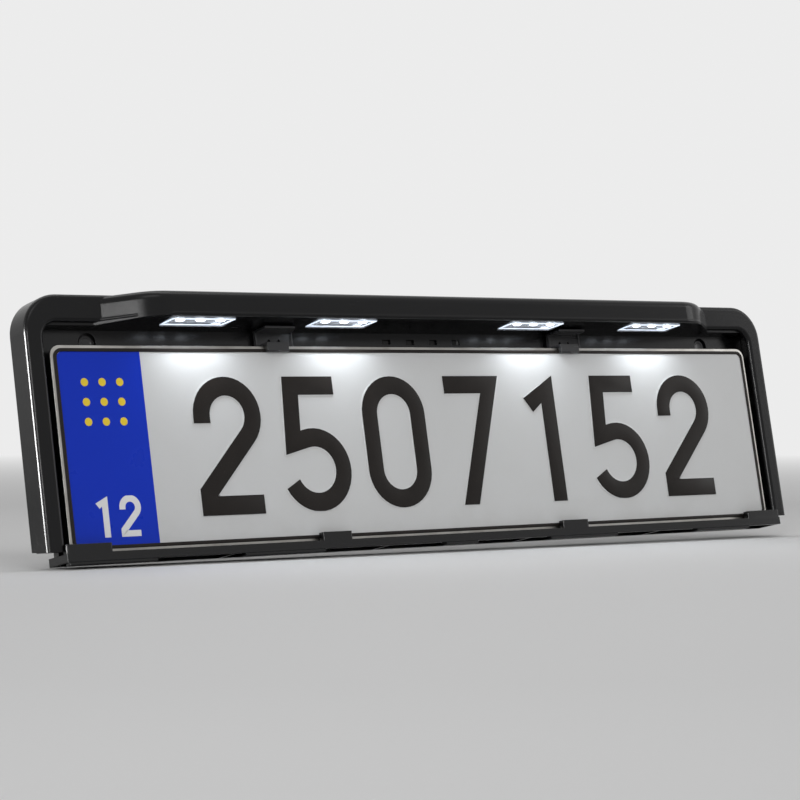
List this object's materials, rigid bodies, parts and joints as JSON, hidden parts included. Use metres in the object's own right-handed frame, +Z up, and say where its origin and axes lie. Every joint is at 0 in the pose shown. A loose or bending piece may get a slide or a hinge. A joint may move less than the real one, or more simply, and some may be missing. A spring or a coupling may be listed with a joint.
{
  "type": "number plate holder",
  "caption": "Wide black holder with a seated number plate: a raised lamp hood runs over the plate, side legs frame it, snap latches hold its top and a lipped rail its bottom edge.",
  "frame": {"origin": "centre of the slotted mounting holes on the mounting plane, behind the middle of the plate", "axes": "+X along the length, to the right as seen from in front of the plate; +Y from the plate's front to the vehicle; +Z up"},
  "size_m": [0.55, 0.0369, 0.1485],
  "materials": {
    "cover_plastic": "satin black moulding with a fine grain",
    "carrier_plastic": "glossy black moulding",
    "latch_plastic": "matte black moulding",
    "plate_sheet": "pressed sheet with a pale reflective film",
    "lamp_lens": "clear moulding",
    "lamp_cap": "dark moulding",
    "lamp_board": "white solder mask",
    "lamp_chips": "pale yellow encapsulant",
    "screw_steel": "zinc-plated",
    "grommet_rubber": "soft black rubber"
  },
  "bodies": {
    "root": {"cover": "cover_plastic", "carrier": "carrier_plastic", "number_plate": "plate_sheet", "latch_left": "latch_plastic", "latch_right": "latch_plastic", "lamp_1_lens": "lamp_lens", "lamp_1_cap": "lamp_cap", "lamp_1_board": "lamp_board", "lamp_1_chips": "lamp_chips", "lamp_2_lens": "lamp_lens", "lamp_2_cap": "lamp_cap", "lamp_2_board": "lamp_board", "lamp_2_chips": "lamp_chips", "lamp_3_lens": "lamp_lens", "lamp_3_cap": "lamp_cap", "lamp_3_board": "lamp_board", "lamp_3_chips": "lamp_chips", "lamp_4_lens": "lamp_lens", "lamp_4_cap": "lamp_cap", "lamp_4_board": "lamp_board", "lamp_4_chips": "lamp_chips", "cover_screws": "screw_steel", "cable_grommet": "grommet_rubber"}
  },
  "joints": []
}
